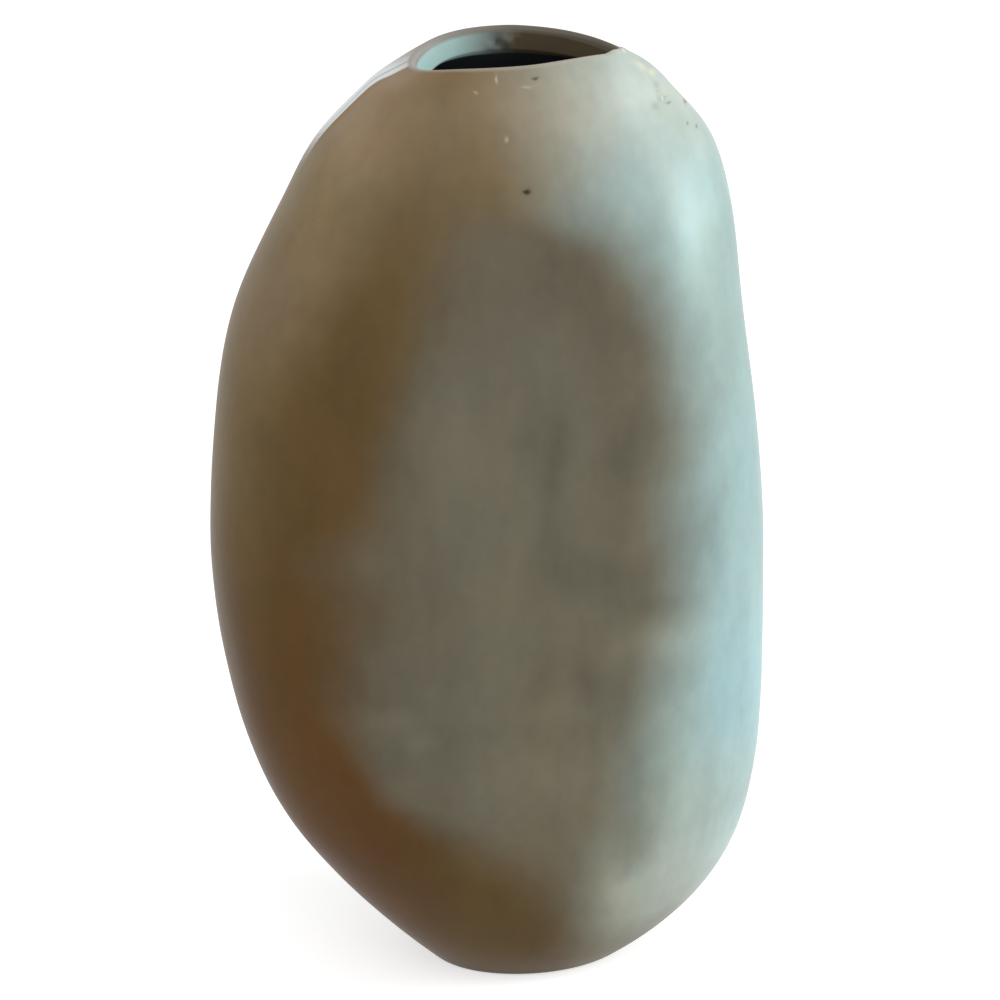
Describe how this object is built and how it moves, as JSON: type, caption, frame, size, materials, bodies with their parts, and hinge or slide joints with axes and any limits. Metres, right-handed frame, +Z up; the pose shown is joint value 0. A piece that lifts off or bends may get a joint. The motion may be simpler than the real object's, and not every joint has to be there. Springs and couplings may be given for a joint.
{
  "type": "pillow vase",
  "caption": "Tall hand-built pillow vase with softly bulged walls, a small foot and a narrow leaf-shaped mouth with a wavy lip and an inner collar.",
  "frame": {"origin": "on the table plane, under the middle of the vase's overall width and depth", "axes": "+Z up through the mouth, +X to the vase's right as seen from its front, +Y to its back"},
  "size_m": [0.2152, 0.1193, 0.3727],
  "materials": {
    "foot_clay": "bare fired clay below, satin glaze on its side",
    "wall_glaze": "satin glaze that drifts from umber on the left over taupe to pale celadon on the right",
    "lip_glaze": "satin glaze outside, taupe along the lip and glossy inside the collar"
  },
  "bodies": {
    "root": {"foot_slab": "foot_clay", "front_slab": "wall_glaze", "back_slab": "wall_glaze", "mouth_collar": "lip_glaze"}
  },
  "joints": []
}
